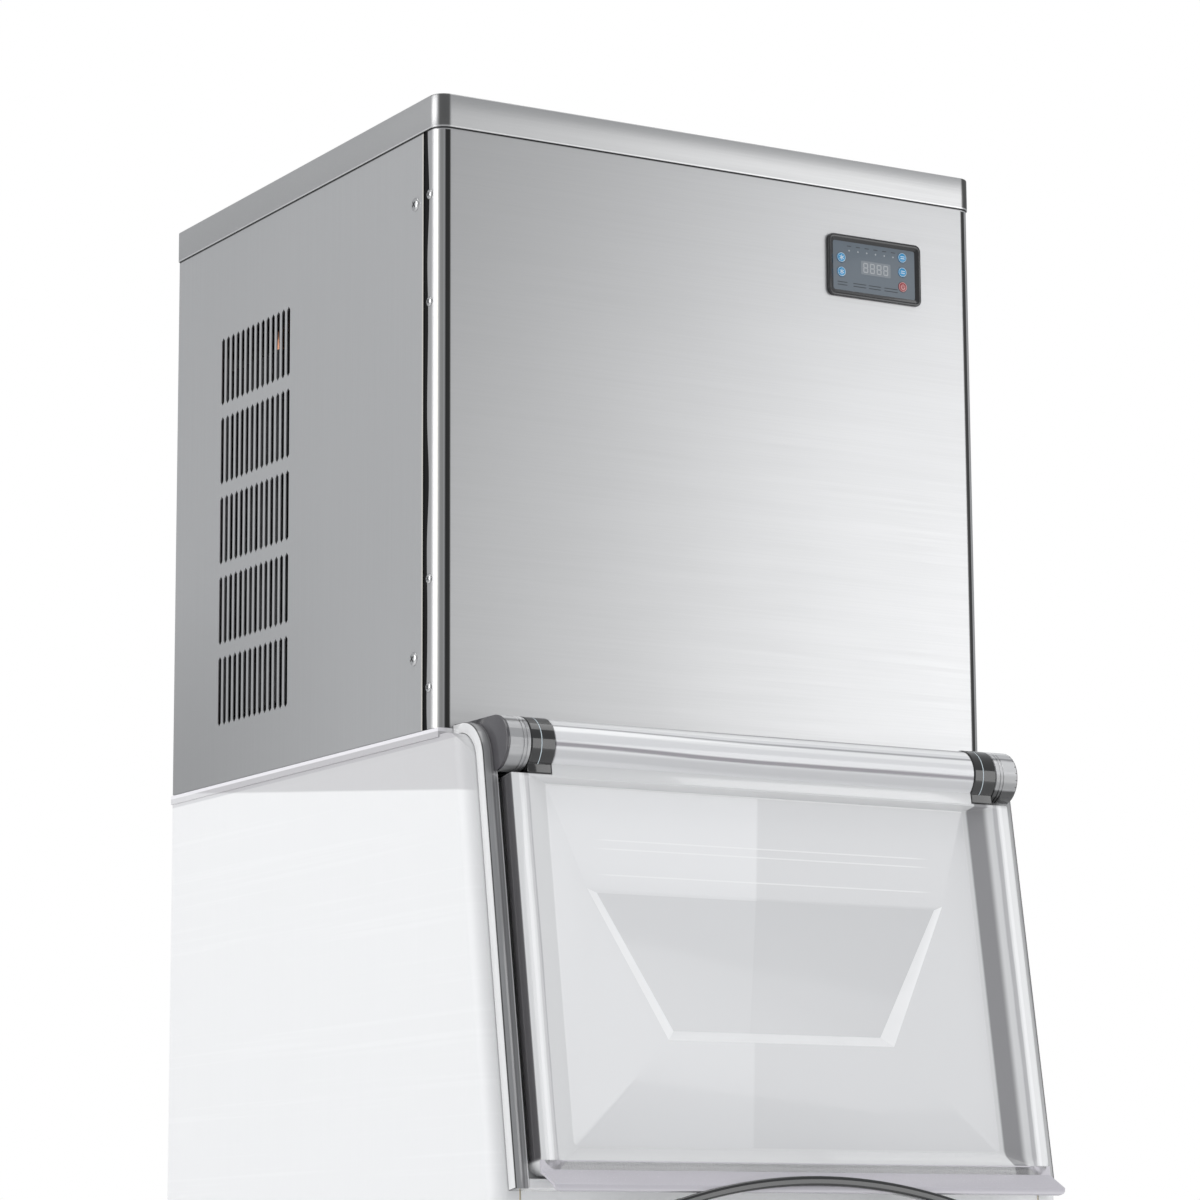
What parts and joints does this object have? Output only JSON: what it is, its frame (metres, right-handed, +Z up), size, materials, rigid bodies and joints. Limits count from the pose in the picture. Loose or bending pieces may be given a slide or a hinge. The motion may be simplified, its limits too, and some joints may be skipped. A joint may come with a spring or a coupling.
{
  "type": "ice machine",
  "caption": "Free-standing modular ice machine: brushed steel head with side louvres and a small key panel on an insulated store bin with a clear lift-up door.",
  "frame": {"origin": "centre of the overall outline at floor level, in the plane of the foot discs", "axes": "+Z up, -Y to the front where the door and the key panel are, +X to the right as seen by someone facing the front"},
  "size_m": [0.562, 0.6924, 1.62],
  "materials": {
    "stainless_head": "brushed satin",
    "stainless_bin": "fine satin",
    "galvanised": "dull",
    "steel_bright": "polished",
    "rubber_black": "matte",
    "black_plastic": "glossy",
    "membrane_grey": "satin",
    "display_dark": "glossy",
    "key_blue": "glossy",
    "key_red": "glossy",
    "board_green": "matte",
    "nickel_plate": "satin",
    "white_plastic": "satin",
    "clear_plastic": "clear glossy",
    "frame_grey": "glossy",
    "copper_tube": "satin",
    "fin_aluminium": "satin",
    "black_paint": "satin",
    "foam": "matte"
  },
  "bodies": {
    "machine": {"head_top_cover": "stainless_head", "rear_spacers": "stainless_head", "head_front_panel": "stainless_head", "head_side_panel_left": "stainless_head", "head_side_panel_right": "stainless_head", "head_back_panel": "galvanised", "head_base_pan": "galvanised", "head_posts": "galvanised", "joint_gaskets": "rubber_black", "head_partition": "galvanised", "casing_screws": "steel_bright", "control_bezel": "black_plastic", "control_membrane": "membrane_grey", "control_display": "display_dark", "control_board": "board_green", "evaporator": "nickel_plate", "evaporator_frame": "white_plastic", "water_spray_tube": "white_plastic", "water_trough": "white_plastic", "water_pump": "black_plastic", "water_pump_hose": "white_plastic", "water_level_probe": "black_plastic", "water_drain_hose": "white_plastic", "condenser_coil": "fin_aluminium", "condenser_end_plates": "galvanised", "fan_shroud": "galvanised", "fan_motor": "black_paint", "compressor": "black_paint", "compressor_mounts": "rubber_black", "discharge_pipe": "copper_tube", "liquid_line": "copper_tube", "suction_pipe": "copper_tube", "water_inlet_valve": "white_plastic", "power_gland": "black_plastic", "electric_box": "galvanised", "bin_side_left": "stainless_bin", "bin_side_right": "stainless_bin", "bin_front_panel": "stainless_bin", "bin_back_panel": "galvanised", "bin_deck": "stainless_bin", "bin_bottom_pan": "galvanised", "bin_liner": "white_plastic", "bin_insulation": "foam", "bin_drain_spout": "white_plastic", "bin_front_frame": "frame_grey", "bin_legs": "stainless_head", "leg_feet": "rubber_black", "door_gasket": "rubber_black", "door_hinge_rod": "steel_bright"},
    "door": {"door_panel": "clear_plastic", "door_handle": "black_plastic", "door_hinge_tube": "clear_plastic", "door_end_blocks": "black_plastic"},
    "fan": {"fan_wheel": "fin_aluminium"},
    "curtain": {"water_curtain": "clear_plastic"},
    "key_left_upper_body": {"key_left_upper": "key_blue"},
    "key_left_lower_body": {"key_left_lower": "key_blue"},
    "key_right_upper_body": {"key_right_upper": "key_blue"},
    "key_right_middle_body": {"key_right_middle": "key_blue"},
    "key_power_body": {"key_power": "key_red"}
  },
  "joints": [
    {"name": "door_hinge", "type": "hinge", "parent": "machine", "child": "door", "pos_m": [0, -0.24977, 1.054], "axis": [-1, 0, 0], "range_deg": [0, 174]},
    {"name": "fan_spin", "type": "hinge", "parent": "machine", "child": "fan", "pos_m": [-0.205, 0.16623, 1.305], "axis": [1, 0, 0], "continuous": true},
    {"name": "curtain_swing", "type": "hinge", "parent": "machine", "child": "curtain", "pos_m": [0, -0.08177, 1.588], "axis": [-1, 0, 0], "range_deg": [0, 15]},
    {"name": "key_left_upper_press", "type": "slide", "parent": "machine", "child": "key_left_upper_body", "axis": [0, 1, 0], "range_m": [0, 0.0006], "stiffness_N_per_m": 1500, "springref_m": -0.0002},
    {"name": "key_left_lower_press", "type": "slide", "parent": "machine", "child": "key_left_lower_body", "axis": [0, 1, 0], "range_m": [0, 0.0006], "stiffness_N_per_m": 1500, "springref_m": -0.0002},
    {"name": "key_right_upper_press", "type": "slide", "parent": "machine", "child": "key_right_upper_body", "axis": [0, 1, 0], "range_m": [0, 0.0006], "stiffness_N_per_m": 1500, "springref_m": -0.0002},
    {"name": "key_right_middle_press", "type": "slide", "parent": "machine", "child": "key_right_middle_body", "axis": [0, 1, 0], "range_m": [0, 0.0006], "stiffness_N_per_m": 1500, "springref_m": -0.0002},
    {"name": "key_power_press", "type": "slide", "parent": "machine", "child": "key_power_body", "axis": [0, 1, 0], "range_m": [0, 0.0006], "stiffness_N_per_m": 1500, "springref_m": -0.0002}
  ]
}
